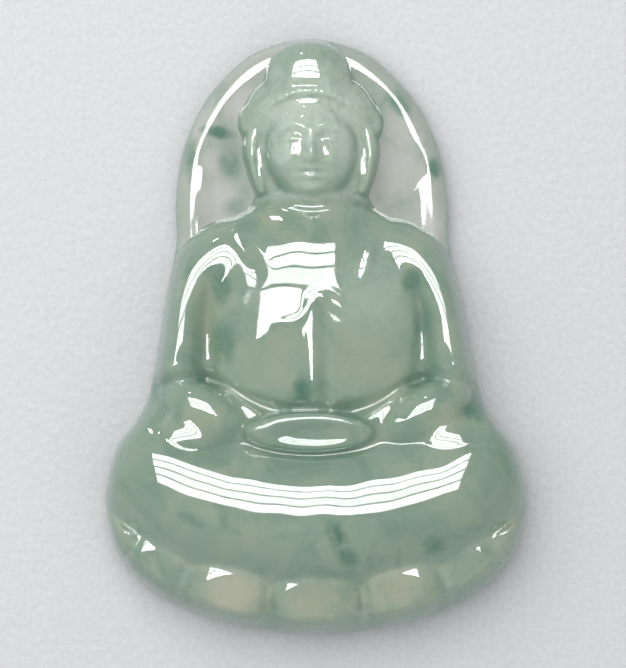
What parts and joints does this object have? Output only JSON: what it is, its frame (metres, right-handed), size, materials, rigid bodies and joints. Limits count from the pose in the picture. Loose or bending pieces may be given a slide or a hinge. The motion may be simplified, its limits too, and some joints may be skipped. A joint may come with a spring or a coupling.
{
  "type": "jade figurine",
  "caption": "Flat-backed polished jade relief carving of a seated figure with an oval halo, on a lotus base",
  "frame": {"origin": "Middle of the bounding box, on the flat back face that the plaque lies on", "axes": "+Z points out of the carved face, +Y points towards the figure's head, +X is the viewer's right"},
  "size_m": [0.0426, 0.0598, 0.011],
  "materials": {
    "figure_jade": "glass-polished translucent grey-green jade",
    "halo_jade": "glass-polished pale translucent jade, cut thin",
    "lotus_jade": "glass-polished translucent jade with a warm green tint"
  },
  "bodies": {
    "root": {"back_plate": "halo_jade", "collar_left": "figure_jade", "collar_right": "figure_jade", "crossed_legs": "figure_jade", "cuff_left": "figure_jade", "cuff_right": "figure_jade", "ear_left": "figure_jade", "ear_right": "figure_jade", "forearm_left": "figure_jade", "forearm_right": "figure_jade", "hair_band": "figure_jade", "hair_cap": "figure_jade", "hair_crown": "figure_jade", "halo_rim_left": "halo_jade", "halo_rim_right": "halo_jade", "hand_left": "figure_jade", "hand_right": "figure_jade", "head": "figure_jade", "lap_cloth": "figure_jade", "lotus_petal_0": "lotus_jade", "lotus_petal_left_1": "lotus_jade", "lotus_petal_left_2": "lotus_jade", "lotus_petal_left_3": "lotus_jade", "lotus_petal_right_1": "lotus_jade", "lotus_petal_right_2": "lotus_jade", "lotus_petal_right_3": "lotus_jade", "neck": "figure_jade", "robe_pleat": "figure_jade", "sleeve_left": "figure_jade", "sleeve_right": "figure_jade", "torso": "figure_jade"}
  },
  "joints": []
}
